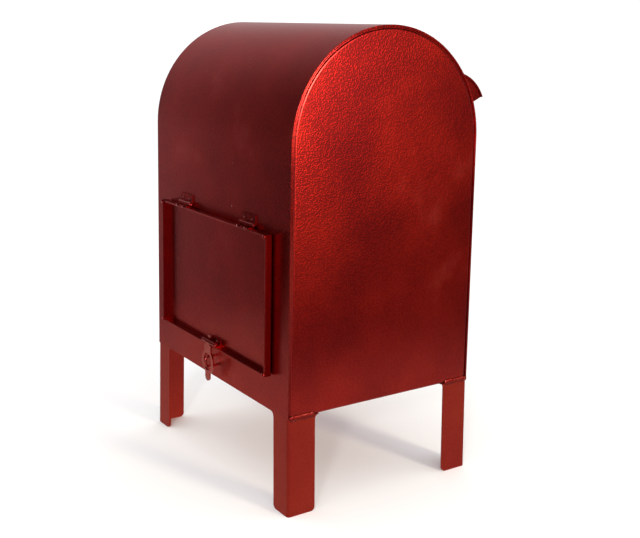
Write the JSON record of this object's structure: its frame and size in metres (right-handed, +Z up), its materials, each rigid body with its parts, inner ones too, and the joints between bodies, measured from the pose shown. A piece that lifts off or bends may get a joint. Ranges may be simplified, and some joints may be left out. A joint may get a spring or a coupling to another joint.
{
  "type": "money box",
  "caption": "Sheet-steel money box in the shape of a street letter box, on angle legs, with a hooded coin slot and a hinged rear door with hasp and staple.",
  "frame": {"origin": "on the floor, under the middle of the whole object's footprint", "axes": "+Z up; -Y the front with the hood and money slot, +Y the back with the door; +X to the right of someone facing the slot"},
  "size_m": [0.1522, 0.15, 0.25],
  "materials": {
    "panel_paint": "metallic candy red paint with a fine pebbled surface, semi-gloss",
    "leg_paint": "the same red paint, smoother, semi-gloss",
    "hardware_paint": "the same red paint over small hinges, hasp and staple, with brighter worn spots"
  },
  "bodies": {
    "body": {"body_wrap": "panel_paint", "end_plate_left": "panel_paint", "end_plate_right": "panel_paint", "floor_plate": "panel_paint", "leg_front_left": "leg_paint", "leg_front_right": "leg_paint", "leg_back_left": "leg_paint", "leg_back_right": "leg_paint", "leg_welds": "leg_paint", "hood_sheet": "panel_paint", "hood_cheek_left": "panel_paint", "hood_cheek_right": "panel_paint", "hinge_left_wall_leaf": "hardware_paint", "hinge_right_wall_leaf": "hardware_paint", "hinge_left_pin": "hardware_paint", "hinge_right_pin": "hardware_paint", "hinge_wall_rivets": "hardware_paint", "staple": "hardware_paint"},
    "door": {"door": "panel_paint", "door_corner_welds": "hardware_paint", "hinge_left_door_leaf": "hardware_paint", "hinge_right_door_leaf": "hardware_paint", "hinge_door_tacks": "hardware_paint", "hasp_base_leaf": "hardware_paint", "hasp_rivets": "hardware_paint", "hasp_pin": "hardware_paint"},
    "hasp": {"hasp_strap": "hardware_paint"}
  },
  "joints": [
    {"name": "door_hinge", "type": "hinge", "parent": "body", "child": "door", "pos_m": [0, 0.06861, 0.14645], "axis": [1, 0, 0], "range_deg": [0, 110]},
    {"name": "hasp_hinge", "type": "hinge", "parent": "door", "child": "hasp", "pos_m": [0, 0.07196, 0.07345], "axis": [1, 0, 0], "range_deg": [-6, 170]}
  ]
}
